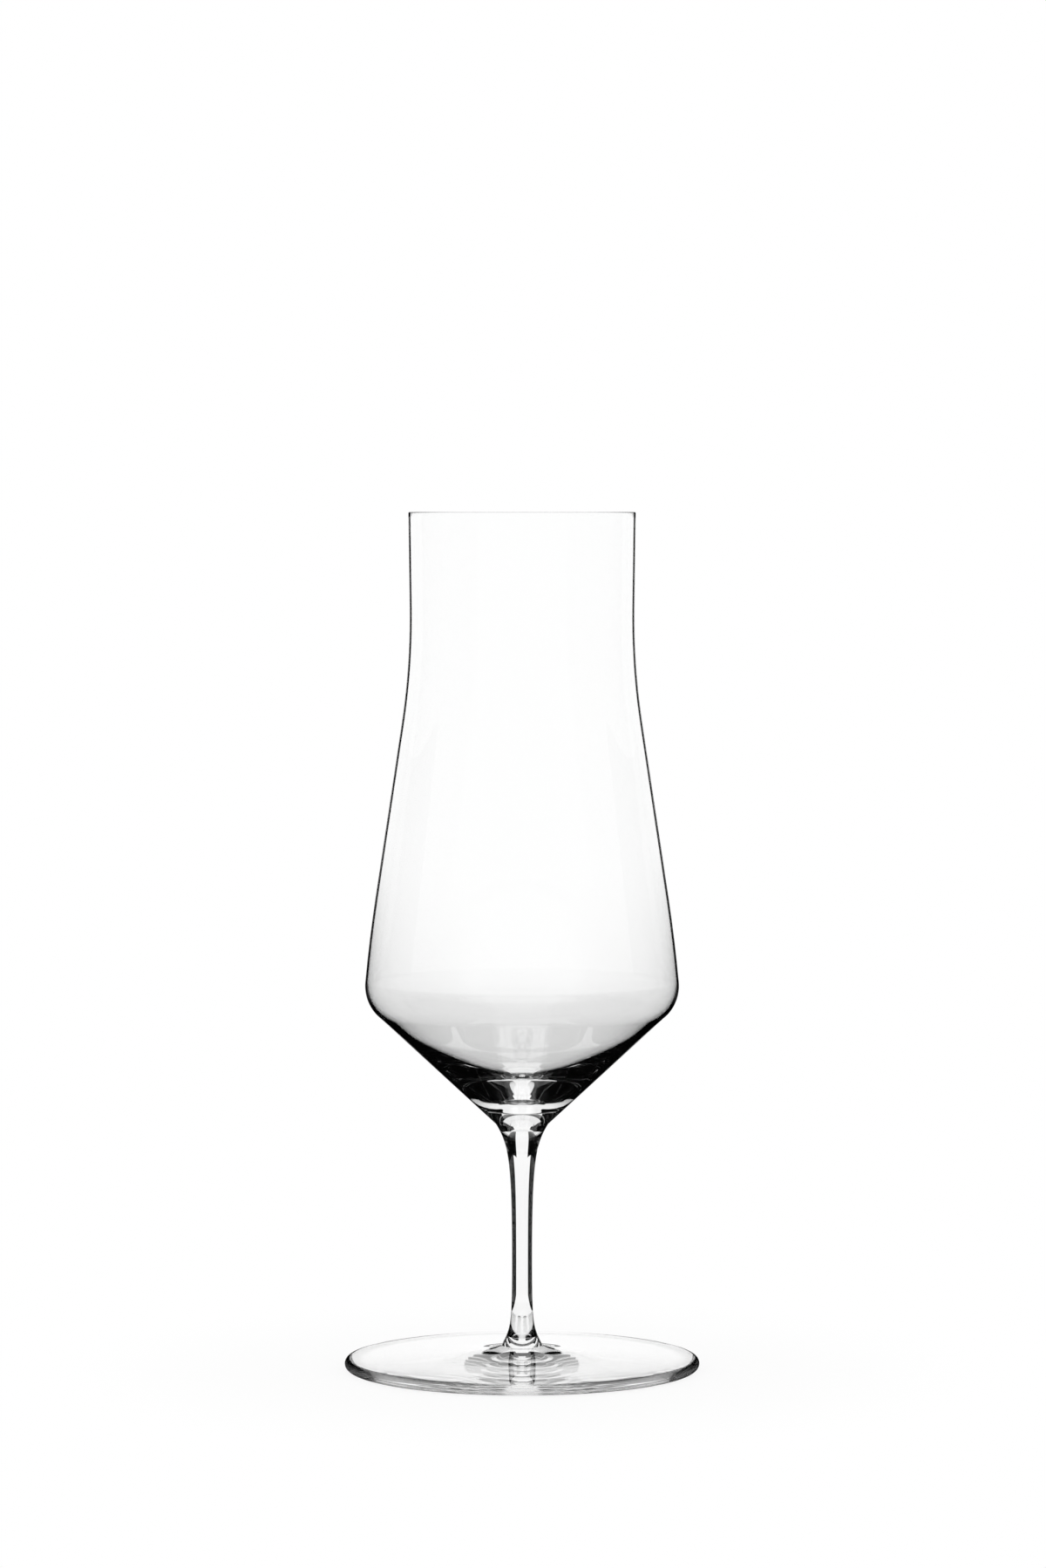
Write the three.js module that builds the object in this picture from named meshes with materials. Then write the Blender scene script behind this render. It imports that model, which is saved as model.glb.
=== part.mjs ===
import * as THREE from 'three';

// A thin-stemmed drinking glass, in millimetres. It stands on z = 0 with its axis on +Z.
// Three gathers of clear glass are fused end to end: a pressed foot, a drawn stem and a blown bowl.

// Foot: a thin disc with a full-round edge, a low crown under the stem and a hollow underside.
const FOOT_RADIUS = 42.5;
const FOOT_EDGE_THICKNESS = 2.6;
const FOOT_HEIGHT = 5.5;
const FOOT_RING_WIDTH = 6;
const FOOT_HOLLOW_DEPTH = 0.7;
const FOOT_CROWN_REACH = 4;
const FOOT_CROWN_DROP = 1.5;
const FOOT_BRIM_REACH = 24;
const FOOT_BRIM_RISE = 0.3;

// Stem: a slim rod that swells into the foot and, more gradually, into the bowl.
const STEM_LENGTH = 53.3;
const STEM_FOOT_RADIUS = 4.9;
const STEM_WAIST_RADIUS = 2.4;
const STEM_BOWL_RADIUS = 6.27;
const STEM_WAIST_HEIGHT = 20;
const STEM_FOOT_FLARE = new THREE.Vector2(2.1, 4.2);
const STEM_FOOT_STRAIGHT = 16;
const STEM_BOWL_STRAIGHT = 24.7;
const STEM_BOWL_FLARE = new THREE.Vector2(3, 5);

// Bowl: radii and heights of its outer corners, and the arcs that round them.
const BOWL_CONE_HEIGHT = 29.2;
const BOWL_SHOULDER_RADIUS = 37.9;
const BOWL_SHOULDER_ROUND = 9.9;
const BOWL_BELLY_HEIGHT = 15;
const BOWL_BELLY_RADIUS = 36.5;
const BOWL_BELLY_ROUND = 345;
const BOWL_FLANK_HEIGHT = 65.5;
const BOWL_NECK_RADIUS = 26.6;
const BOWL_NECK_ROUND = 170;
const BOWL_CHIMNEY_HEIGHT = 36.5;
const BOWL_RIM_RADIUS = 27.05;

// The blown wall is even from the lip to the shoulder. Down the cone it thickens, at first slowly, and
// then, past a long bend, into the solid base under a small flat floor.
const BOWL_WALL = 0.5;
const BOWL_BEND_REACH = 22.8;
const BOWL_BEND_WALL = 1.3;
const BOWL_BEND_ROUND = 104;
const BOWL_BASE_THICKNESS = 7.3;
const BOWL_FLOOR_RADIUS = 6.3;
const BOWL_FLOOR_ROUND = 11.5;

// Fineness of the surfaces: sides round the axis, and how far a chord may leave its arc.
const SIDES = 48;
const CHORD_ERROR = 0.03;
const CURVE_STEPS = 8;

const STEM_FOOT_Z = FOOT_HEIGHT;
const STEM_BOWL_Z = STEM_FOOT_Z + STEM_LENGTH;
const SHOULDER_Z = STEM_BOWL_Z + BOWL_CONE_HEIGHT;
const BELLY_Z = SHOULDER_Z + BOWL_BELLY_HEIGHT;
const NECK_Z = BELLY_Z + BOWL_FLANK_HEIGHT;
const RIM_Z = NECK_Z + BOWL_CHIMNEY_HEIGHT;
const FLOOR_Z = STEM_BOWL_Z + BOWL_BASE_THICKNESS;

/** A point of a half outline: x is the distance from the axis, y the height. */
function at(radius, height) {
  return new THREE.Vector2(radius, height);
}

/** Points along an arc, close enough together to keep to the chord error. */
function arcPoints(centre, radius, from, to, clockwise) {
  const turn = clockwise ? from - to : to - from;
  const sweep = THREE.MathUtils.euclideanModulo(turn, 2 * Math.PI);
  const step = 2 * Math.acos(1 - Math.min(CHORD_ERROR / radius, 1));
  const arc = new THREE.EllipseCurve(centre.x, centre.y, radius, radius, from, to, clockwise);
  return arc.getPoints(Math.max(2, Math.ceil(sweep / step)));
}

/** Points along a cubic curve. */
function curvePoints(start, startControl, endControl, end) {
  return new THREE.CubicBezierCurve(start, startControl, endControl, end).getPoints(CURVE_STEPS);
}

/** Unit directions from a corner to its two neighbours, and half the angle between them. */
function cornerSides(before, corner, after) {
  const toBefore = before.clone().sub(corner).normalize();
  const toAfter = after.clone().sub(corner).normalize();
  const halfAngle = Math.acos(toBefore.dot(toAfter)) / 2;
  return { toBefore, toAfter, halfAngle };
}

/** The arc that rounds one corner, tangent to both of its sides. */
function cornerArc(before, corner, after, radius) {
  const { toBefore, toAfter, halfAngle } = cornerSides(before, corner, after);
  const reach = radius / Math.tan(halfAngle);
  const bisector = toBefore.clone().add(toAfter).normalize();
  const centre = corner.clone().addScaledVector(bisector, radius / Math.sin(halfAngle));
  const start = corner.clone().addScaledVector(toBefore, reach).sub(centre);
  const end = corner.clone().addScaledVector(toAfter, reach).sub(centre);
  const clockwise = toBefore.cross(toAfter) > 0;
  return arcPoints(centre, radius, start.angle(), end.angle(), clockwise);
}

/**
 * An outline through corners, each rounded by its own radius; the two ends stay sharp.
 * Where two rounds would meet on a short side, both are reduced until they just touch.
 */
function roundedOutline(corners, rounds) {
  const last = corners.length - 1;
  const reach = corners.map((corner, i) => {
    if (i === 0 || i === last) return 0;
    return rounds[i] / Math.tan(cornerSides(corners[i - 1], corner, corners[i + 1]).halfAngle);
  });
  const room = (i) => corners[i].distanceTo(corners[i + 1]) / (reach[i] + reach[i + 1]);
  return corners.flatMap((corner, i) => {
    if (i === 0 || i === last) return [corner];
    const limit = Math.min(1, room(i - 1), room(i));
    return cornerArc(corners[i - 1], corner, corners[i + 1], rounds[i] * limit);
  });
}

/** A corner of the inner face: the outer corner moved in so that both its sides lie one wall deep. */
function wallCorner(below, corner, above) {
  const rise = corner.clone().sub(below).normalize();
  const along = rise.clone().add(above.clone().sub(corner).normalize()).normalize();
  const inward = at(-along.y, along.x);
  return corner.clone().addScaledVector(inward, BOWL_WALL / along.dot(rise));
}

/** A point one depth inside a side of the outline, at a distance along that side from its start. */
function insidePoint(start, end, reach, depth) {
  const along = end.clone().sub(start).normalize();
  return start.clone().addScaledVector(along, reach).addScaledVector(at(-along.y, along.x), depth);
}

/** A solid of revolution about +Z from a half outline that starts and ends on the axis. */
function revolve(outline) {
  const geometry = new THREE.LatheGeometry(outline, SIDES);
  geometry.rotateX(Math.PI / 2);
  return geometry;
}

/** The foot's half outline, from the middle of its underside round to the stem's joint. */
function footOutline() {
  const edgeRadius = FOOT_EDGE_THICKNESS / 2;
  const edgeStart = FOOT_RADIUS - edgeRadius;
  const ringStart = edgeStart - FOOT_RING_WIDTH;
  const underside = curvePoints(
    at(0, FOOT_HOLLOW_DEPTH),
    at(ringStart / 2, FOOT_HOLLOW_DEPTH),
    at(ringStart / 2, 0),
    at(ringStart, 0),
  );
  const edge = arcPoints(at(edgeStart, edgeRadius), edgeRadius, -Math.PI / 2, Math.PI / 2, false);
  const top = curvePoints(
    at(edgeStart, FOOT_EDGE_THICKNESS),
    at(edgeStart - FOOT_BRIM_REACH, FOOT_EDGE_THICKNESS + FOOT_BRIM_RISE),
    at(STEM_FOOT_RADIUS + FOOT_CROWN_REACH, FOOT_HEIGHT - FOOT_CROWN_DROP),
    at(STEM_FOOT_RADIUS, FOOT_HEIGHT),
  );
  return [...underside, ...edge, ...top.slice(1), at(0, FOOT_HEIGHT)];
}

/** The stem's half outline, from its joint with the foot up to its joint with the bowl. */
function stemOutline() {
  const waistZ = STEM_FOOT_Z + STEM_WAIST_HEIGHT;
  const waist = at(STEM_WAIST_RADIUS, waistZ);
  const lower = curvePoints(
    at(STEM_FOOT_RADIUS, STEM_FOOT_Z),
    at(STEM_FOOT_RADIUS - STEM_FOOT_FLARE.x, STEM_FOOT_Z + STEM_FOOT_FLARE.y),
    at(STEM_WAIST_RADIUS, waistZ - STEM_FOOT_STRAIGHT),
    waist,
  );
  const upper = curvePoints(
    waist,
    at(STEM_WAIST_RADIUS, waistZ + STEM_BOWL_STRAIGHT),
    at(STEM_BOWL_RADIUS - STEM_BOWL_FLARE.x, STEM_BOWL_Z - STEM_BOWL_FLARE.y),
    at(STEM_BOWL_RADIUS, STEM_BOWL_Z),
  );
  return [at(0, STEM_FOOT_Z), ...lower, ...upper.slice(1), at(0, STEM_BOWL_Z)];
}

/** The bowl's half outline, from the stem's joint up the outside, over the lip and down the inside. */
function bowlOutline() {
  const joint = at(STEM_BOWL_RADIUS, STEM_BOWL_Z);
  const shoulder = at(BOWL_SHOULDER_RADIUS, SHOULDER_Z);
  const belly = at(BOWL_BELLY_RADIUS, BELLY_Z);
  const neck = at(BOWL_NECK_RADIUS, NECK_Z);
  const lipRadius = BOWL_WALL / 2;
  const lipCentre = at(BOWL_RIM_RADIUS - lipRadius, RIM_Z - lipRadius);
  const rim = at(BOWL_RIM_RADIUS, lipCentre.y);
  const innerRim = at(BOWL_RIM_RADIUS - BOWL_WALL, lipCentre.y);
  const outside = roundedOutline(
    [joint, shoulder, belly, neck, rim],
    [0, BOWL_SHOULDER_ROUND, BOWL_BELLY_ROUND, BOWL_NECK_ROUND, 0],
  );
  const lip = arcPoints(lipCentre, lipRadius, 0, Math.PI, false);
  const inside = roundedOutline(
    [
      innerRim,
      wallCorner(belly, neck, rim),
      wallCorner(shoulder, belly, neck),
      wallCorner(joint, shoulder, belly),
      insidePoint(joint, shoulder, BOWL_BEND_REACH, BOWL_BEND_WALL),
      at(BOWL_FLOOR_RADIUS, FLOOR_Z),
      at(0, FLOOR_Z),
    ],
    [
      0,
      BOWL_NECK_ROUND + BOWL_WALL,
      BOWL_BELLY_ROUND - BOWL_WALL,
      BOWL_SHOULDER_ROUND - BOWL_WALL,
      BOWL_BEND_ROUND,
      BOWL_FLOOR_ROUND,
      0,
    ],
  );
  return [at(0, STEM_BOWL_Z), ...outside, ...lip.slice(1, -1), ...inside];
}

/** Clear colourless glass with a fire-polished surface. */
function clearGlass() {
  return new THREE.MeshStandardMaterial({
    color: 0xf3f6f5,
    roughness: 0.03,
    metalness: 0,
    transparent: true,
    opacity: 0.3,
  });
}

/** One named piece of the glass. */
function piece(name, outline) {
  const mesh = new THREE.Mesh(revolve(outline), clearGlass());
  mesh.name = name;
  return mesh;
}

const glass = new THREE.Group();
glass.name = 'stemmed_glass';
glass.add(piece('foot', footOutline()));
glass.add(piece('stem', stemOutline()));
glass.add(piece('bowl', bowlOutline()));

export default glass;
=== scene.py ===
"""A stemmed drinking glass of clear blown glass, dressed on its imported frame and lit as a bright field.

Lengths are in metres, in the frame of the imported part: +Z up, the foot's ring on z = 0, the camera on -Y.
"""

import logging
import math
from dataclasses import dataclass, field
from enum import Enum
from itertools import accumulate
from typing import Any, Sequence

import bmesh
import bpy
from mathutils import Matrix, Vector


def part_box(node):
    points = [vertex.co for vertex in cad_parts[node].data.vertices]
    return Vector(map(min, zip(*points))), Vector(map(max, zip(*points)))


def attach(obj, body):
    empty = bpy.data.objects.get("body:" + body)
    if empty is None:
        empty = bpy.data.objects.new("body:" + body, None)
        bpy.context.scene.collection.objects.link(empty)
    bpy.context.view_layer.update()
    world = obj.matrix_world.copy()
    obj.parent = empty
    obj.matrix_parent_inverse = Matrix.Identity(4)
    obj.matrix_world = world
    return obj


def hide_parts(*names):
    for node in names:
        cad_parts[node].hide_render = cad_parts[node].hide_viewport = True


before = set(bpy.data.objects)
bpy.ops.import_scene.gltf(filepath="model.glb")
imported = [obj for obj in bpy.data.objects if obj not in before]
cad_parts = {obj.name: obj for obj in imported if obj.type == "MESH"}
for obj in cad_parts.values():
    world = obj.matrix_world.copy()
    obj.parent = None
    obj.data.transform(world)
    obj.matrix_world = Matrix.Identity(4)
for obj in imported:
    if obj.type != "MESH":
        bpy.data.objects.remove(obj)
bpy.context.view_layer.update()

LOG = logging.getLogger("stemmed_glass")
BODY = "root"

Outline = list[Vector]
Place = tuple[float, float, float]
Colour = tuple[float, float, float]
Range = tuple[float, float]
Face = tuple[Place, ...]

# A stretch past the whole studio, and counts past and below those of any light in it.
NOWHERE: Range = (8.0, 9.0)
PAST_ALL = 64.0
BELOW_ALL = -1.0


class Ray(Enum):
    """The kinds of ray that the studio tells apart."""

    CAMERA = "Is Camera Ray"
    GLOSSY = "Is Glossy Ray"
    TRANSMISSION = "Is Transmission Ray"


class Mix(Enum):
    """Places of a Mix node's colour sockets, two inputs and the output."""

    FIRST = 6
    SECOND = 7
    RESULT = 2


class Side(Enum):
    """The two sides of the glass as the camera sees them."""

    LEFT = -1
    RIGHT = 1


@dataclass(frozen=True)
class Num:
    """A number in a node tree; arithmetic on it adds Math nodes to that tree."""

    graph: "Graph"
    socket: bpy.types.NodeSocket

    def __add__(self, other: "Num | float") -> "Num":
        """Sum."""
        return self.graph.math("ADD", self, other)

    def __radd__(self, other: float) -> "Num":
        """Sum with a plain number on the left."""
        return self.graph.math("ADD", other, self)

    def __sub__(self, other: "Num | float") -> "Num":
        """Difference."""
        return self.graph.math("SUBTRACT", self, other)

    def __rsub__(self, other: float) -> "Num":
        """Difference with a plain number on the left."""
        return self.graph.math("SUBTRACT", other, self)

    def __mul__(self, other: "Num | float") -> "Num":
        """Product."""
        return self.graph.math("MULTIPLY", self, other)

    def __rmul__(self, other: float) -> "Num":
        """Product with a plain number on the left."""
        return self.graph.math("MULTIPLY", other, self)

    def __truediv__(self, other: "Num | float") -> "Num":
        """Quotient."""
        return self.graph.math("DIVIDE", self, other)

    def __floordiv__(self, other: "Num | float") -> "Num":
        """Quotient rounded down."""
        return self.graph.math("FLOOR", self / other)

    def __mod__(self, other: "Num | float") -> "Num":
        """Remainder."""
        return self.graph.math("MODULO", self, other)

    def __abs__(self) -> "Num":
        """Size without sign."""
        return self.graph.math("ABSOLUTE", self)

    def __lt__(self, other: "Num | float") -> "Num":
        """One where this is the smaller, else zero."""
        return self.graph.math("LESS_THAN", self, other)

    def __gt__(self, other: "Num | float") -> "Num":
        """One where this is the larger, else zero."""
        return self.graph.math("GREATER_THAN", self, other)

    def __or__(self, other: "Num | float") -> "Num":
        """The larger of the two, so one where either is one."""
        return self.graph.math("MAXIMUM", self, other)


class Graph:
    """Adds nodes to one node tree."""

    def __init__(self, tree: bpy.types.NodeTree) -> None:
        """Take the tree that the nodes go to."""
        self.tree = tree

    def node(
        self,
        kind: str,
        settings: dict[str, Any] | None = None,
        inputs: dict[str | int, Any] | None = None,
    ) -> bpy.types.Node:
        """Add one node.

        Args:
            kind: The node's type.
            settings: Properties of the node, set before its sockets.
            inputs: Values or links for its sockets, by name or place.

        Returns:
            The new node.
        """
        made = self.tree.nodes.new(kind)
        for name, value in (settings or {}).items():
            setattr(made, name, value)
        for key, value in (inputs or {}).items():
            self.feed(made.inputs[key], value)
        return made

    def feed(self, socket: bpy.types.NodeSocket, value: Any) -> None:
        """Link a socket to another, or set its plain value.

        Args:
            socket: The socket that takes the value.
            value: A number or socket of the tree, or a plain value.
        """
        source = value.socket if isinstance(value, Num) else value
        if isinstance(source, bpy.types.NodeSocket):
            self.tree.links.new(source, socket)
        else:
            socket.default_value = source

    def num(self, socket: bpy.types.NodeSocket) -> Num:
        """Wrap a socket as a number."""
        return Num(self, socket)

    def math(self, operation: str, *values: Num | float) -> Num:
        """Add a Math node and return its result."""
        made = self.node("ShaderNodeMath", {"operation": operation}, dict(enumerate(values)))
        return self.num(made.outputs[0])

    def smooth(self, value: Num, start: float, end: float) -> Num:
        """A soft step.

        Args:
            value: What is stepped.
            start: The value at which the step leaves 0.
            end: The value at which it reaches 1.

        Returns:
            The step.
        """
        made = self.node(
            "ShaderNodeMapRange",
            {"interpolation_type": "SMOOTHSTEP"},
            {"Value": value, "From Min": start, "From Max": end},
        )
        return self.num(made.outputs["Result"])

    def parts(self, vector: bpy.types.NodeSocket) -> tuple[Num, Num, Num]:
        """The x, y and z of a vector."""
        made = self.node("ShaderNodeSeparateXYZ", inputs={"Vector": vector})
        x, y, z = (self.num(s) for s in made.outputs)
        return x, y, z

    def vector(self, x: Num | float, y: Num | float, z: Num | float) -> bpy.types.NodeSocket:
        """A vector from three numbers."""
        return self.node("ShaderNodeCombineXYZ", inputs={"X": x, "Y": y, "Z": z}).outputs[0]

    def blend(self, factor: Num, first: bpy.types.Node, second: bpy.types.Node) -> bpy.types.Node:
        """A mix of two shaders, all of the second where the factor is one."""
        inputs = {0: factor, 1: first.outputs[0], 2: second.outputs[0]}
        return self.node("ShaderNodeMixShader", inputs=inputs)


@dataclass(frozen=True)
class ClearGlass:
    """Colourless blown glass: fire-polished, with the faint waves and films that handwork leaves."""

    name: str = "clear_glass"
    tint: Colour = (0.998, 0.999, 0.9985)
    shade: Colour = (0.996, 0.9975, 0.997)
    ior: float = 1.52
    polish: float = 0.0
    film: float = 0.012
    film_scale: float = 34.0
    film_detail: float = 3.0
    film_range: Range = (0.5, 0.8)
    wave_scale: float = 16.0
    wave_detail: float = 1.0
    wave_stretch: float = 0.35
    wave_height: float = 0.00006

    def material(self) -> bpy.types.Material:
        """Build the glass.

        Returns:
            The material, with a slow change of tint, film and surface over the piece.
        """
        made = bpy.data.materials.new(self.name)
        made.use_nodes = True
        graph = Graph(made.node_tree)
        glass = made.node_tree.nodes["Principled BSDF"]
        place = graph.node("ShaderNodeTexCoord").outputs["Object"]
        drawn = graph.node(
            "ShaderNodeMapping", inputs={"Vector": place, "Scale": (1.0, 1.0, self.wave_stretch)}
        ).outputs["Vector"]
        streak = graph.node(
            "ShaderNodeTexNoise",
            inputs={"Vector": drawn, "Scale": self.wave_scale, "Detail": self.wave_detail},
        ).outputs["Fac"]
        smear = graph.num(graph.node(
            "ShaderNodeTexNoise",
            inputs={"Vector": place, "Scale": self.film_scale, "Detail": self.film_detail},
        ).outputs["Fac"])
        colour = graph.node(
            "ShaderNodeMix",
            {"data_type": "RGBA"},
            {"Factor": streak, Mix.FIRST.value: (*self.tint, 1.0), Mix.SECOND.value: (*self.shade, 1.0)},
        ).outputs[Mix.RESULT.value]
        bump = graph.node(
            "ShaderNodeBump", inputs={"Strength": 1.0, "Distance": self.wave_height, "Height": streak}
        ).outputs["Normal"]
        graph.feed(glass.inputs["Base Color"], colour)
        film = self.film * graph.smooth(smear, *self.film_range)
        graph.feed(glass.inputs["Roughness"], self.polish + film)
        graph.feed(glass.inputs["Normal"], bump)
        glass.inputs["IOR"].default_value = self.ior
        glass.inputs["Transmission Weight"].default_value = 1.0
        return made


@dataclass(frozen=True)
class FusedJoint:
    """The face where two gathers were fused hot: one glass, so nothing shows there."""

    name: str = "fused_joint"

    def material(self) -> bpy.types.Material:
        """Build the joint.

        Returns:
            A surface that lets everything pass straight on.
        """
        made = bpy.data.materials.new(self.name)
        made.use_nodes = True
        made.node_tree.nodes["Principled BSDF"].inputs["Alpha"].default_value = 0.0
        return made


@dataclass(frozen=True)
class GlassFinish:
    """The two materials that every piece of the glass is made with."""

    glass: bpy.types.Material
    joint: bpy.types.Material


def arc(centre: Vector, radius: float, start: float, sweep: float, steps: int) -> Outline:
    """Points along an arc.

    Args:
        centre: The arc's centre.
        radius: Its radius.
        start: The angle of its first point, in radians.
        sweep: The angle it turns through, positive anticlockwise.
        steps: How many chords it has.

    Returns:
        The points from first to last.
    """
    turns = (start + sweep * i / steps for i in range(steps + 1))
    return [centre + radius * Vector((math.cos(a), math.sin(a))) for a in turns]


def cubic(points: Sequence[Vector], steps: int) -> Outline:
    """Points along a cubic curve.

    Args:
        points: Its four control points.
        steps: How many chords it has.

    Returns:
        The points from first to last.
    """
    a, b, c, d = points
    made = []
    for i in range(steps + 1):
        t = i / steps
        s = 1 - t
        made.append(s**3 * a + 3 * s * s * t * b + 3 * s * t * t * c + t**3 * d)
    return made


def corner_reach(before: Vector, corner: Vector, after: Vector, radius: float) -> float:
    """How far along its sides a round takes from a corner."""
    return radius / math.tan((before - corner).angle(after - corner) / 2)


def corner_arc(before: Vector, corner: Vector, after: Vector, radius: float, step: float) -> Outline:
    """The arc that rounds one corner, tangent to both sides.

    Args:
        before: The corner before this one.
        corner: The corner to round.
        after: The corner after it.
        radius: The round's radius.
        step: The largest turn between two points, in radians.

    Returns:
        The arc's points.
    """
    to_before = (before - corner).normalized()
    to_after = (after - corner).normalized()
    half = to_before.angle(to_after) / 2
    centre = corner + (to_before + to_after).normalized() * (radius / math.sin(half))
    first = corner + to_before * (radius / math.tan(half)) - centre
    turn = math.pi - 2 * half
    sweep = math.copysign(turn, to_after.x * to_before.y - to_after.y * to_before.x)
    return arc(centre, radius, math.atan2(first.y, first.x), sweep, max(2, math.ceil(turn / step)))


def straight(start: Vector, end: Vector, spacing: float) -> Outline:
    """Evenly spaced points between two places, without the places themselves."""
    count = math.ceil((end - start).length / spacing)
    return [start.lerp(end, i / count) for i in range(1, count)]


def rounded(corners: Sequence[Vector], rounds: Sequence[float], step: float, spacing: float) -> Outline:
    """An outline through corners, each rounded by its own radius.

    Args:
        corners: The corners, of which the two ends stay sharp.
        rounds: A radius for each corner between the ends.
        step: The largest turn between two points, in radians.
        spacing: The longest stretch between two points of a straight side.

    Returns:
        The outline's points. Rounds that would meet on a short side are reduced until they touch.
    """
    inner = range(1, len(corners) - 1)
    reach = [0.0] * len(corners)
    for i in inner:
        reach[i] = corner_reach(corners[i - 1], corners[i], corners[i + 1], rounds[i - 1])
    room = [(b - a).length / (p + q) for a, b, p, q in zip(corners, corners[1:], reach, reach[1:])]
    made = [corners[0]]
    for i in inner:
        radius = rounds[i - 1] * min(1.0, room[i - 1], room[i])
        bend = corner_arc(corners[i - 1], corners[i], corners[i + 1], radius, step)
        made += [*straight(made[-1], bend[0], spacing), *bend]
    return [*made, *straight(made[-1], corners[-1], spacing), corners[-1]]


class Revolve:
    """A Geometry Nodes tree that turns a half outline about the axis."""

    SIDES = 192
    MERGE = 1e-7
    SEAT = 1e-6
    CREASE = math.radians(35.0)
    UNUSED = -1.0

    def __init__(self) -> None:
        """Build the tree with its named inputs."""
        self.tree = bpy.data.node_groups.new("turned_glass", "GeometryNodeTree")
        face = self.tree.interface
        face.new_socket("Outline", in_out="INPUT", socket_type="NodeSocketGeometry")
        self.inputs = {
            name: face.new_socket(name, in_out="INPUT", socket_type=kind).identifier
            for name, kind in (
                ("Sides", "NodeSocketInt"),
                ("Lower joint", "NodeSocketFloat"),
                ("Upper joint", "NodeSocketFloat"),
                ("Glass", "NodeSocketMaterial"),
                ("Joint", "NodeSocketMaterial"),
            )
        }
        face.new_socket("Piece", in_out="OUTPUT", socket_type="NodeSocketGeometry")
        self._wire(Graph(self.tree))

    def _wire(self, graph: Graph) -> None:
        """Lay a grid over the outline and the turn, then close and dress it.

        Args:
            graph: The tree to build in.
        """
        given = graph.node("NodeGroupInput").outputs
        sides = graph.num(given["Sides"])
        size = graph.node(
            "GeometryNodeAttributeDomainSize", {"component": "MESH"}, {"Geometry": given["Outline"]}
        )
        count = graph.num(size.outputs["Point Count"])
        grid = graph.node("GeometryNodeMeshGrid", inputs={"Vertices X": sides + 1.0, "Vertices Y": count})
        index = graph.num(graph.node("GeometryNodeInputIndex").outputs[0])
        place = graph.node("GeometryNodeInputPosition").outputs[0]
        point = graph.node(
            "GeometryNodeSampleIndex",
            {"data_type": "FLOAT_VECTOR", "domain": "POINT"},
            {"Geometry": given["Outline"], "Value": place, "Index": index % count},
        ).outputs["Value"]
        radius, _, height = graph.parts(point)
        angle = (index // count) / sides * (2 * math.pi)
        turned = graph.vector(
            radius * graph.math("COSINE", angle), radius * graph.math("SINE", angle), height
        )
        placed = graph.node(
            "GeometryNodeSetPosition", inputs={"Geometry": grid.outputs["Mesh"], "Position": turned}
        ).outputs[0]
        closed = graph.node(
            "GeometryNodeMergeByDistance", inputs={"Geometry": placed, "Distance": self.MERGE}
        ).outputs[0]
        smooth = graph.node("GeometryNodeSetShadeSmooth", inputs={"Geometry": closed}).outputs[0]
        real = graph.node("GeometryNodeRealizeInstances", inputs={"Geometry": smooth}).outputs[0]
        glass = graph.node(
            "GeometryNodeSetMaterial", inputs={"Geometry": real, "Material": given["Glass"]}
        ).outputs[0]
        level = graph.parts(place)[2]
        low = abs(level - graph.num(given["Lower joint"])) < self.SEAT
        high = abs(level - graph.num(given["Upper joint"])) < self.SEAT
        joint = graph.node(
            "GeometryNodeSetMaterial",
            inputs={"Geometry": glass, "Selection": low + high, "Material": given["Joint"]},
        ).outputs[0]
        graph.node("NodeGroupOutput", inputs={"Piece": joint})

    def mesh(
        self, name: str, outline: Outline, finish: GlassFinish, joints: tuple[float, float]
    ) -> bpy.types.Object:
        """Turn one half outline into a closed piece.

        Args:
            name: The piece's name.
            outline: Points of radius and height that start and end on the axis.
            finish: The piece's materials.
            joints: Heights of its lower and upper fused face, or UNUSED.

        Returns:
            An object at the origin with a plain mesh.
        """
        line = bpy.data.meshes.new(name)
        edges = [(i, i + 1) for i in range(len(outline) - 1)]
        line.from_pydata([(p.x, 0.0, p.y) for p in outline], edges, [])
        made = bpy.data.objects.new(name, line)
        bpy.context.scene.collection.objects.link(made)
        turn = made.modifiers.new("turn", "NODES")
        turn.node_group = self.tree
        values = (self.SIDES, *joints, finish.glass, finish.joint)
        for identifier, value in zip(self.inputs.values(), values):
            turn[identifier] = value
        shot = bpy.context.evaluated_depsgraph_get()
        result = bpy.data.meshes.new_from_object(made.evaluated_get(shot), depsgraph=shot)
        made.modifiers.clear()
        made.data = result
        bpy.data.meshes.remove(line)
        result.name = name
        self._face_outwards(result)
        return made

    def _face_outwards(self, mesh: bpy.types.Mesh) -> None:
        """Merge what is left double, turn the faces out and keep the joints' edges crisp.

        Args:
            mesh: The mesh to change.
        """
        work = bmesh.new()
        work.from_mesh(mesh)
        bmesh.ops.remove_doubles(work, verts=work.verts, dist=self.MERGE)
        bmesh.ops.recalc_face_normals(work, faces=work.faces)
        work.to_mesh(mesh)
        work.free()
        mesh.set_sharp_from_angle(angle=self.CREASE)


@dataclass
class GlassPiece:
    """What the three pieces of the glass share."""

    node: str
    revolve: Revolve
    finish: GlassFinish
    turn_step: float = math.radians(1.0)
    spacing: float = 0.0015

    def __post_init__(self) -> None:
        """Read the piece's place from the frame."""
        low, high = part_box(self.node)
        self.bottom = low.z
        self.top = high.z

    def outline(self) -> Outline:
        """Half outline of the piece, to be given by each kind of piece."""
        raise NotImplementedError

    def joints(self) -> tuple[float, float]:
        """Heights of the fused faces, to be given by each kind of piece."""
        raise NotImplementedError

    def build(self) -> bpy.types.Object:
        """Make the piece, dress it and seat it on the frame.

        Returns:
            The finished object.
        """
        made = self.revolve.mesh(f"{self.node}_glass", self.outline(), self.finish, self.joints())
        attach(made, BODY)
        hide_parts(self.node)
        LOG.info("%s: %d faces", made.name, len(made.data.polygons))
        return made


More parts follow.
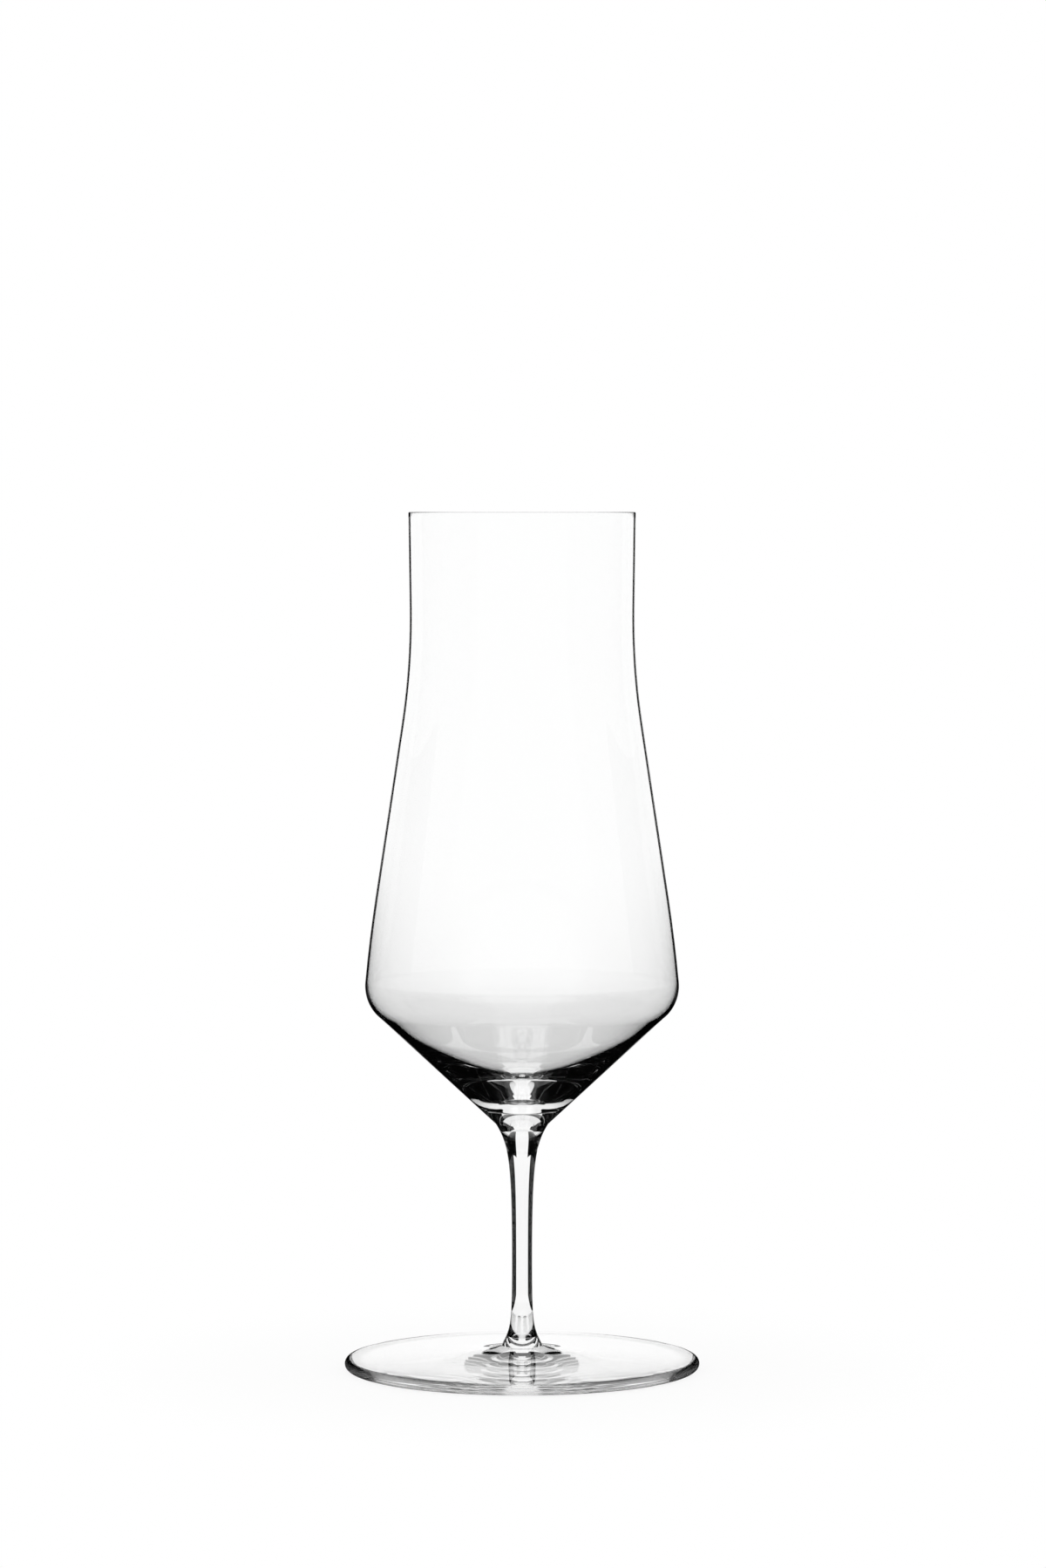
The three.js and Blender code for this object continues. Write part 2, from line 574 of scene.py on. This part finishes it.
@dataclass
class Foot(GlassPiece):
    """The pressed foot: a thin disc with a full-round edge, a low crown and a hollow underside."""

    edge_thickness: float = 0.0026
    ring_width: float = 0.006
    hollow_depth: float = 0.0007
    stem_radius: float = 0.0049
    crown: Vector = field(default_factory=lambda: Vector((0.004, -0.0015)))
    brim: Vector = field(default_factory=lambda: Vector((-0.024, 0.0003)))
    curve_steps: int = 40

    def outline(self) -> Outline:
        """Draw the foot.

        Returns:
            Half outline from the middle of the underside round to the stem's joint.
        """
        edge_radius = self.edge_thickness / 2
        edge_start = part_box(self.node)[1].x - edge_radius
        ring_start = edge_start - self.ring_width
        bend = ring_start / 2
        hollow = self.bottom + self.hollow_depth
        underside = cubic(
            [
                Vector((0.0, hollow)),
                Vector((bend, hollow)),
                Vector((bend, self.bottom)),
                Vector((ring_start, self.bottom)),
            ],
            self.curve_steps,
        )
        centre = Vector((edge_start, self.bottom + edge_radius))
        edge = arc(centre, edge_radius, -math.pi / 2, math.pi, self.curve_steps)
        seat = Vector((self.stem_radius, self.top))
        top = cubic([edge[-1], edge[-1] + self.brim, seat + self.crown, seat], self.curve_steps)
        return [*underside, *edge, *top[1:], Vector((0.0, self.top))]

    def joints(self) -> tuple[float, float]:
        """The foot is fused to the stem above it."""
        return Revolve.UNUSED, self.top


@dataclass
class Stem(GlassPiece):
    """The drawn stem: a slim rod that swells into the foot and into the bowl."""

    foot_radius: float = 0.0049
    waist_radius: float = 0.0024
    waist_height: float = 0.020
    bowl_radius: float = 0.00627
    foot_flare: Vector = field(default_factory=lambda: Vector((-0.0021, 0.0042)))
    foot_straight: float = 0.016
    bowl_straight: float = 0.0247
    bowl_flare: Vector = field(default_factory=lambda: Vector((-0.003, -0.005)))
    curve_steps: int = 60

    def outline(self) -> Outline:
        """Draw the stem.

        Returns:
            Half outline from the foot's joint up to the bowl's.
        """
        start = Vector((self.foot_radius, self.bottom))
        waist = Vector((self.waist_radius, self.bottom + self.waist_height))
        end = Vector((self.bowl_radius, self.top))
        down = Vector((0.0, -self.foot_straight))
        up = Vector((0.0, self.bowl_straight))
        lower = cubic([start, start + self.foot_flare, waist + down, waist], self.curve_steps)
        upper = cubic([waist, waist + up, end + self.bowl_flare, end], self.curve_steps)
        return [Vector((0.0, self.bottom)), *lower, *upper[1:], Vector((0.0, self.top))]

    def joints(self) -> tuple[float, float]:
        """The stem is fused at both ends."""
        return self.bottom, self.top


@dataclass
class Bowl(GlassPiece):
    """The blown bowl: a thin wall from the lip to the shoulder, then a thick base with a round floor."""

    joint_radius: float = 0.00627
    cone_height: float = 0.0292
    shoulder_radius: float = 0.0379
    shoulder_round: float = 0.0099
    belly_height: float = 0.0150
    belly_radius: float = 0.0365
    belly_round: float = 0.345
    flank_height: float = 0.0655
    neck_radius: float = 0.0266
    neck_round: float = 0.170
    rim_radius: float = 0.02705
    wall: float = 0.0005
    bend_reach: float = 0.0228
    bend_wall: float = 0.0013
    bend_round: float = 0.104
    base_thickness: float = 0.0073
    floor_radius: float = 0.0063
    floor_round: float = 0.0115
    lip_steps: int = 16

    def _wall_corner(self, below: Vector, corner: Vector, above: Vector) -> Vector:
        """An outer corner moved in, so that both of its sides lie one wall deep.

        Args:
            below: The outer corner below.
            corner: The outer corner.
            above: The outer corner above.

        Returns:
            The inner corner.
        """
        rise = (corner - below).normalized()
        along = (rise + (above - corner).normalized()).normalized()
        inward = Vector((-along.y, along.x))
        return corner + inward * (self.wall / along.dot(rise))

    def _bend(self, joint: Vector, shoulder: Vector) -> Vector:
        """The inner corner on the cone where the wall begins to thicken into the base."""
        along = (shoulder - joint).normalized()
        return joint + along * self.bend_reach + Vector((-along.y, along.x)) * self.bend_wall

    def outline(self) -> Outline:
        """Draw the bowl.

        Returns:
            Half outline from the stem's joint up the outside, over the lip and down the inside.
        """
        joint = Vector((self.joint_radius, self.bottom))
        shoulder = Vector((self.shoulder_radius, self.bottom + self.cone_height))
        belly = Vector((self.belly_radius, shoulder.y + self.belly_height))
        neck = Vector((self.neck_radius, belly.y + self.flank_height))
        lip_radius = self.wall / 2
        lip_centre = Vector((self.rim_radius - lip_radius, self.top - lip_radius))
        rim = Vector((self.rim_radius, lip_centre.y))
        floor = self.bottom + self.base_thickness
        outside = rounded(
            [joint, shoulder, belly, neck, rim],
            [self.shoulder_round, self.belly_round, self.neck_round],
            self.turn_step,
            self.spacing,
        )
        lip = arc(lip_centre, lip_radius, 0.0, math.pi, self.lip_steps)
        inside = rounded(
            [
                lip[-1],
                self._wall_corner(belly, neck, rim),
                self._wall_corner(shoulder, belly, neck),
                self._wall_corner(joint, shoulder, belly),
                self._bend(joint, shoulder),
                Vector((self.floor_radius, floor)),
                Vector((0.0, floor)),
            ],
            [
                self.neck_round + self.wall,
                self.belly_round - self.wall,
                self.shoulder_round - self.wall,
                self.bend_round,
                self.floor_round,
            ],
            self.turn_step,
            self.spacing,
        )
        return [Vector((0.0, self.bottom)), *outside, *lip[1:-1], *inside]

    def joints(self) -> tuple[float, float]:
        """The bowl is fused to the stem below it."""
        return self.bottom, Revolve.UNUSED


@dataclass(frozen=True)
class Card:
    """A black card that only light on its way from the glass sees, so that it paints dark reflections and
    refractions into the glass.

    Attributes:
        name: What the card is called.
        faces: Its faces on the right side; the left card is its mirror image.
        mirrored: Whether reflections off the glass show it.
        refracted: Whether it is seen through the glass.
        one_faced: Whether its back lets light pass, so that only its front is black.
        crossings: All light that has crossed the glass's skin no more often than this sees it.
        least: Light that has crossed it less often than this does not.
        turns: Light that has been bent or reflected at least this often sees it too.
        most_crossings: Light that has crossed the skin more often than this needs more turns for that.
        extra_turns: How many more.
        top: Heights between which it fades out.
        front: Depths, from the glass's axis towards the camera, between which it fades out.
        far: Depths behind the glass between which it fades out.
        share: How dense it is.
        sides: The sides that it stands on.
        colour: Its paint.
    """

    name: str
    faces: tuple[Face, ...]
    mirrored: bool = False
    refracted: bool = True
    one_faced: bool = False
    crossings: float = PAST_ALL
    least: float = 0.0
    turns: float = PAST_ALL
    most_crossings: float = 5.0
    extra_turns: float = 2.0
    top: Range = NOWHERE
    front: Range = NOWHERE
    far: Range = NOWHERE
    share: float = 1.0
    sides: tuple[Side, ...] = (Side.LEFT, Side.RIGHT)
    colour: Colour = (0.002, 0.002, 0.002)

    def _density(self, graph: Graph) -> Num:
        """How dense the card is at each place.

        Args:
            graph: The material's tree.

        Returns:
            One where it is black, falling to zero where it has faded out.
        """
        _, y, z = graph.parts(graph.node("ShaderNodeTexCoord").outputs["Object"])
        back = graph.num(graph.node("ShaderNodeNewGeometry").outputs["Backfacing"])
        kept = (1.0 - graph.smooth(z, *self.top)) * (1.0 - graph.smooth(0.0 - y, *self.front))
        kept = self.share * kept * (1.0 - graph.smooth(y, *self.far))
        return kept * (1.0 - back * float(self.one_faced))

    def _seen(self, graph: Graph) -> Num:
        """Which light sees the card.

        Args:
            graph: The material's tree.

        Returns:
            One for light that has crossed the skin a few times or turned many times, else zero.
        """
        path = graph.node("ShaderNodeLightPath").outputs
        crossed = graph.num(path["Transmission Depth"])
        turned = graph.num(path["Ray Depth"])
        few = 1.0 - ((crossed > self.crossings) | (crossed < self.least))
        needed = self.turns + self.extra_turns * (crossed > self.most_crossings)
        return few | (1.0 - (turned < needed))

    def material(self) -> bpy.types.Material:
        """Build the matt black.

        Returns:
            The material, clear to all light that doesn't see the card.
        """
        made = bpy.data.materials.new("black_card")
        made.use_nodes = True
        made.node_tree.nodes.clear()
        graph = Graph(made.node_tree)
        black = graph.node("ShaderNodeBsdfDiffuse", inputs={"Color": (*self.colour, 1.0)})
        clear = graph.node("ShaderNodeBsdfTransparent")
        face = graph.blend(1.0 - self._density(graph) * self._seen(graph), black, clear)
        graph.node("ShaderNodeOutputMaterial", inputs={"Surface": face.outputs[0]})
        return made

    def build(self, side: Side) -> bpy.types.Object:
        """Stand the card on one side.

        Args:
            side: The side that it stands on.

        Returns:
            The card.
        """
        faces = [[(x * side.value, y, z) for x, y, z in face][:: side.value] for face in self.faces]
        made = sheet(f"{self.name}_card_{side.name.lower()}", faces)
        made.data.materials.append(self.material())
        made.visible_camera = False
        made.visible_diffuse = False
        made.visible_glossy = self.mirrored
        made.visible_transmission = self.refracted
        made.visible_shadow = False
        made.visible_volume_scatter = False
        return made


def sheet(name: str, faces: Sequence[Sequence[Place]]) -> bpy.types.Object:
    """A thin sheet of flat faces.

    Args:
        name: The sheet's name.
        faces: The corners of each face.

    Returns:
        The new object.
    """
    mesh = bpy.data.meshes.new(name)
    points = [point for face in faces for point in face]
    ends = list(accumulate(len(face) for face in faces))
    mesh.from_pydata(points, [], [range(end - len(face), end) for end, face in zip(ends, faces)])
    made = bpy.data.objects.new(name, mesh)
    bpy.context.scene.collection.objects.link(made)
    return made


def seen_by(graph: Graph, *kinds: Ray) -> Num:
    """Tell some kinds of ray from the others.

    Args:
        graph: The tree to build in.
        kinds: The kinds of ray.

    Returns:
        One for rays of these kinds, else zero.
    """
    path = graph.node("ShaderNodeLightPath")
    first, *rest = (graph.num(path.outputs[kind.value]) for kind in kinds)
    for other in rest:
        first = first | other
    return first


@dataclass(frozen=True)
class WhiteFloor:
    """A plain white floor with a faint shadow, painted black to reflections off the glass near it, and
    polished under the glass.

    Attributes:
        half: Half its side.
        drop: How far it lies under the foot.
        colour: Its paint.
        dark: The painted dark reflection: what reflections off the glass see of the floor near the glass.
        near: Distances from the axis between which that darkness ends.
        shadow_share: How much of the plain paint, which takes shadows, the camera sees under the glass.
        shadow: Distances between which that share ends.
        polish: The polished part's colour.
        polish_radius: How far from the axis it is polished.
        dull_share: How much of the polish is lost in a ring under the foot.
        dull_turns: Light that has been reflected no more often than this sees the ring dull.
        dull_start: Distances between which the ring starts.
        dull_end: Distances between which it ends.
    """

    half: float = 4.0
    drop: float = 0.0002
    colour: Colour = (0.96, 0.96, 0.96)
    dark: Colour = (0.002, 0.002, 0.002)
    near: Range = (0.25, 0.5)
    shadow_share: float = 0.12
    shadow: Range = (0.04, 0.12)
    polish: Colour = (0.98, 0.98, 0.98)
    polish_radius: float = 0.048
    dull_share: float = 0.9
    dull_turns: float = 0.5
    dull_start: Range = (0.003, 0.008)
    dull_end: Range = (0.037, 0.041)

    def _gloss(self, graph: Graph, reach: Num) -> Num:
        """How far the floor is a mirror to light that comes through the glass.

        Args:
            graph: The material's tree.
            reach: The distance from the axis.

        Returns:
            One where it is polished, less in the dull ring, and zero beyond.
        """
        path = graph.node("ShaderNodeLightPath").outputs
        reflected = graph.num(path["Ray Depth"]) - graph.num(path["Transmission Depth"])
        ring = graph.smooth(reach, *self.dull_start) * (1.0 - graph.smooth(reach, *self.dull_end))
        dull = self.dull_share * ring * (reflected < self.dull_turns)
        return (reach < self.polish_radius) * (1.0 - dull) * seen_by(graph, Ray.TRANSMISSION)

    def material(self) -> bpy.types.Material:
        """Build the floor's paint.

        Returns:
            The material.
        """
        made = bpy.data.materials.new("white_floor")
        made.use_nodes = True
        made.node_tree.nodes.clear()
        graph = Graph(made.node_tree)
        place = graph.node("ShaderNodeTexCoord").outputs["Object"]
        reach = graph.num(graph.node(
            "ShaderNodeVectorMath", {"operation": "LENGTH"}, {0: place}
        ).outputs["Value"])
        matt = graph.node("ShaderNodeBsdfDiffuse", inputs={"Color": (*self.colour, 1.0)})
        white = graph.node("ShaderNodeEmission", inputs={"Color": (1.0, 1.0, 1.0, 1.0)})
        black = graph.node("ShaderNodeBsdfDiffuse", inputs={"Color": (*self.dark, 1.0)})
        mirror = graph.node("ShaderNodeBsdfGlossy", inputs={"Color": (*self.polish, 1.0), "Roughness": 0.0})
        shadow = self.shadow_share * (1.0 - graph.smooth(reach, *self.shadow))
        reflected = seen_by(graph, Ray.GLOSSY) * (1.0 - seen_by(graph, Ray.TRANSMISSION))
        plain = graph.blend(seen_by(graph, *Ray) - shadow * seen_by(graph, Ray.CAMERA), matt, white)
        polished = graph.blend(self._gloss(graph, reach), plain, mirror)
        # Painted dark reflection: near the glass, reflections off the glass see the floor black, though the
        # camera sees it white.
        mixed = graph.blend((1.0 - graph.smooth(reach, *self.near)) * reflected, polished, black)
        graph.node("ShaderNodeOutputMaterial", inputs={"Surface": mixed.outputs[0]})
        return made

    def build(self) -> bpy.types.Object:
        """Lay the floor a hair under the foot.

        Returns:
            The floor.
        """
        h = self.half
        made = sheet("floor", [[(-h, -h, 0.0), (h, -h, 0.0), (h, h, 0.0), (-h, h, 0.0)]])
        made.location.z = -self.drop
        made.data.materials.append(self.material())
        return made


def leaning(low: Range, high: Range, y: Range) -> tuple[Face]:
    """A flat card that leans from one x and z to another, over a stretch of y."""
    (x0, z0), (x1, z1) = low, high
    return (((x0, y[0], z0), (x0, y[1], z0), (x1, y[1], z1), (x1, y[0], z1)),)


def standing(x: Range, y: float, z: Range) -> tuple[Face]:
    """An upright card across the view, with its face away from the camera."""
    return (((x[0], y, z[0]), (x[0], y, z[1]), (x[1], y, z[1]), (x[1], y, z[0])),)


def skirt(inner: Range, outer: Range, turn: Range, parts: int) -> tuple[Face, ...]:
    """Part of a cone about the glass, with its face down.

    Args:
        inner: Radius and height of its inner edge.
        outer: Radius and height of its outer edge.
        turn: Where it starts and ends, in degrees from straight behind the glass.
        parts: How many flat faces it has.

    Returns:
        Its faces.
    """
    (r0, z0), (r1, z1) = inner, outer
    turns = [math.radians(turn[1] + (turn[0] - turn[1]) * i / parts) for i in range(parts + 1)]
    ways = [(math.sin(a), math.cos(a)) for a in turns]
    return tuple(
        ((r0 * x0, r0 * y0, z0), (r0 * x1, r0 * y1, z0), (r1 * x1, r1 * y1, z1), (r1 * x0, r1 * y0, z1))
        for (x0, y0), (x1, y1) in zip(ways, ways[1:])
    )


CARDS = (
    Card(
        "near",
        leaning(low=(0.045, -0.1), high=(0.045, 0.135), y=(-0.1, 0.094)),
        mirrored=True,
        crossings=3.0,
        top=(0.08, 0.13),
        front=(0.02, 0.09),
    ),
    Card(
        "apron",
        standing(x=(0.0, 0.3), y=-0.07, z=(0.0, 0.09)),
        mirrored=True,
        crossings=3.0,
        top=(0.055, 0.088),
    ),
    # Painted shade: a faint grey sheet on the floor behind the glass, seen only through the glass, darkens
    # the floor there, densest near the glass.
    Card(
        "floor_shade",
        leaning(low=(0.0, 0.0008), high=(0.6, 0.0008), y=(0.05, 1.3)),
        crossings=BELOW_ALL,
        turns=4.0,
        far=(0.1, 1.2),
        share=0.25,
    ),
    Card(
        "shade",
        standing(x=(0.0, 0.5), y=-0.07, z=(-0.1, 0.4)),
        mirrored=True,
        crossings=BELOW_ALL,
        turns=6.0,
    ),
    Card(
        "edge",
        leaning(low=(0.08, 0.07), high=(0.064, 0.34), y=(0.11, 0.29)),
        mirrored=True,
        crossings=3.0,
    ),
    Card(
        "graze",
        leaning(low=(0.084, 0.002), high=(0.064, 0.34), y=(0.29, 0.9)),
        mirrored=True,
        refracted=False,
    ),
    Card(
        "roof",
        skirt(inner=(0.0385, 0.092), outer=(0.5, 0.068), turn=(25.6, 125.0), parts=10),
        mirrored=True,
        one_faced=True,
        crossings=3.0,
        least=1.0,
        turns=6.0,
        far=(0.1, 0.2),
    ),
    Card(
        "rise",
        skirt(inner=(0.06, 0.1), outer=(0.16, 0.1212), turn=(40.0, 125.0), parts=9),
        mirrored=True,
        one_faced=True,
        crossings=3.0,
        least=1.0,
        turns=6.0,
    ),
    Card(
        "high",
        skirt(inner=(0.05, 0.22), outer=(0.22, 0.22), turn=(25.6, 180.0), parts=14),
        mirrored=True,
        one_faced=True,
        crossings=BELOW_ALL,
        turns=6.0,
    ),
    Card(
        "back",
        standing(x=(-0.243, 0.243), y=0.25, z=(0.27, 0.45)),
        crossings=3.0,
        turns=6.0,
        sides=(Side.RIGHT,),
    ),
)


@dataclass
class Studio:
    """A bright field: white all round, with black cards beside the glass that only the glass shows, which
    paint its dark edges.
    """

    distance: float = 1.300
    eye_height: float = 0.205
    tilt: float = math.radians(2.854)
    lens_mm: float = 125.25
    sensor_mm: float = 36.0
    shift: float = 0.0006
    ambient: float = 0.9
    bounces: int = 32

    def build(self) -> None:
        """Set up the camera, the light, the floor and the cards."""
        scene = bpy.context.scene
        scene.view_settings.view_transform = "Standard"
        scene.cycles.max_bounces = self.bounces
        scene.cycles.transmission_bounces = self.bounces
        scene.cycles.glossy_bounces = self.bounces
        scene.cycles.transparent_max_bounces = self.bounces
        scene.world = self._world()
        scene.camera = self._camera()
        WhiteFloor().build()
        bpy.context.view_layer.update()
        # The cards hang on the camera, so that they keep their places round its view.
        for card in CARDS:
            for side in card.sides:
                made = card.build(side)
                made.parent = scene.camera
                made.matrix_parent_inverse = scene.camera.matrix_world.inverted()
            LOG.info("%s card: %d", card.name, len(card.sides))

    def _camera(self) -> bpy.types.Object:
        """Set up the camera.

        Returns:
            A camera at the photograph's place and tilt.
        """
        data = bpy.data.cameras.new("camera")
        data.lens = self.lens_mm
        data.sensor_width = self.sensor_mm
        data.shift_x = self.shift
        made = bpy.data.objects.new("camera", data)
        made.location = (0.0, -self.distance, self.eye_height)
        made.rotation_euler = (math.pi / 2 - self.tilt, 0.0, 0.0)
        bpy.context.scene.collection.objects.link(made)
        return made

    def _world(self) -> bpy.types.World:
        """Build the world.

        Returns:
            White to what looks at it, and a plain soft light to what it shines on.
        """
        made = bpy.data.worlds.new("bright_field")
        made.use_nodes = True
        made.node_tree.nodes.clear()
        graph = Graph(made.node_tree)
        light = graph.node("ShaderNodeBackground", inputs={"Strength": self.ambient})
        white = graph.node("ShaderNodeBackground", inputs={"Strength": 1.0})
        for background in (light, white):
            background.inputs["Color"].default_value = (1.0, 1.0, 1.0, 1.0)
        mixed = graph.blend(seen_by(graph, *Ray), light, white)
        graph.node("ShaderNodeOutputWorld", inputs={"Surface": mixed.outputs[0]})
        return made


def main() -> None:
    """Build the glass piece by piece, then the studio around it."""
    logging.basicConfig(level=logging.INFO, format="%(message)s")
    finish = GlassFinish(ClearGlass().material(), FusedJoint().material())
    revolve = Revolve()
    Foot("foot", revolve, finish).build()
    Stem("stem", revolve, finish).build()
    Bowl("bowl", revolve, finish).build()
    Studio().build()


if __name__ == "__main__":
    main()
